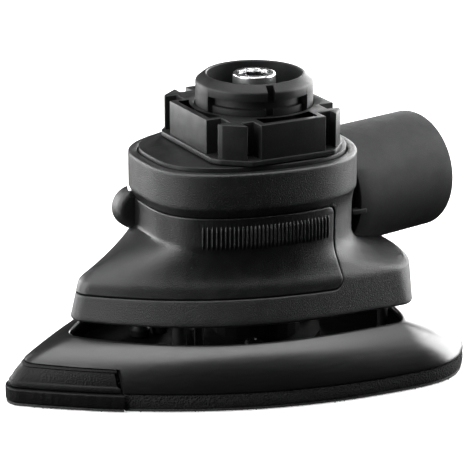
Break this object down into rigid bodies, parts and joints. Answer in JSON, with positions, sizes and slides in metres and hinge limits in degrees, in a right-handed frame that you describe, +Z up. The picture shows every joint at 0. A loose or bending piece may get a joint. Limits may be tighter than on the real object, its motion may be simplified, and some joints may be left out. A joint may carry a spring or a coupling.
{
  "type": "detail mouse sander head",
  "caption": "Mouse-shaped orbiting sander head: foam pad with detachable tip under a flared housing, a bayonet collar on top for a power handle and a hose tube at the rear.",
  "frame": {"origin": "on the spindle axis, in the plane of the hook face that takes the abrasive sheet", "axes": "+X from the pad's tip to its heel, +Y to the side the hose tube is swept to, +Z up out of the pad, along the spindle to the handle coupling"},
  "size_m": [0.1561, 0.098, 0.096],
  "materials": {
    "housing_grain": "fine-grained satin dark grey",
    "cover_smooth": "smooth satin black",
    "shell_gloss": "polished black",
    "coupling_plastic": "smooth satin dark grey",
    "tube_grey": "fine matte mid grey",
    "tip_black": "semi-matte black",
    "foam": "open-cell black foam",
    "hook": "hook pile, fuzzy",
    "rubber": "dull black rubber",
    "inner_plastic": "plain black",
    "steel": "bright machined",
    "zinc_steel": "dull zinc plated",
    "carrier_alloy": "as cast"
  },
  "bodies": {
    "housing": {"main_housing": "housing_grain", "bottom_plate": "inner_plastic", "bearing_carrier": "carrier_alloy", "lower_outer_race": "steel", "upper_outer_race": "steel", "carrier_screw_1": "zinc_steel", "carrier_screw_2": "zinc_steel", "carrier_screw_3": "zinc_steel", "front_post_left": "rubber", "front_post_right": "rubber", "middle_post_left": "rubber", "middle_post_right": "rubber", "rear_post_left": "rubber", "rear_post_right": "rubber", "coupling_plate": "coupling_plastic", "castle_ring": "coupling_plastic", "bayonet_collar": "coupling_plastic", "dust_outlet": "inner_plastic"},
    "spindle": {"drive_shaft": "steel", "drive_socket": "steel", "dust_fan": "inner_plastic", "counterweight": "zinc_steel", "lower_inner_race": "steel", "upper_inner_race": "steel", "pad_inner_race": "steel", "shaft_clip": "zinc_steel", "pad_bolt": "zinc_steel"},
    "pad": {"pad_outer_race": "steel", "pad_hub": "inner_plastic", "hub_screw_1": "zinc_steel", "hub_screw_2": "zinc_steel", "hub_screw_3": "zinc_steel", "backing_plate": "inner_plastic", "pad_shell": "shell_gloss", "foam_pad": "foam", "hook_sheet": "hook"},
    "tip": {"tip_holder": "tip_black", "tip_foam": "tip_black", "tip_hook": "hook", "tip_screw": "zinc_steel"},
    "cover": {"front_cover": "cover_smooth"},
    "adaptor": {"dust_adaptor": "tube_grey"}
  },
  "joints": [
    {"name": "spindle_spin", "type": "hinge", "parent": "housing", "child": "spindle", "pos_m": [0, 0, 0.05], "axis": [0, 0, 1], "continuous": true},
    {"name": "pad_orbit", "type": "hinge", "parent": "spindle", "child": "pad", "pos_m": [0.0008, 0, 0.014], "axis": [0, 0, 1], "continuous": true},
    {"name": "tip_pull", "type": "slide", "parent": "pad", "child": "tip", "axis": [-1, 0, 0], "range_m": [0, 0.03]},
    {"name": "cover_pull", "type": "slide", "parent": "housing", "child": "cover", "axis": [-1, 0, 0], "range_m": [0, 0.06]},
    {"name": "adaptor_pull", "type": "slide", "parent": "housing", "child": "adaptor", "axis": [0.9781, 0.2079, 0], "range_m": [0, 0.04]}
  ],
  "couplings": [
    {"joint": "pad_orbit", "follows": "spindle_spin", "ratio": -1}
  ]
}
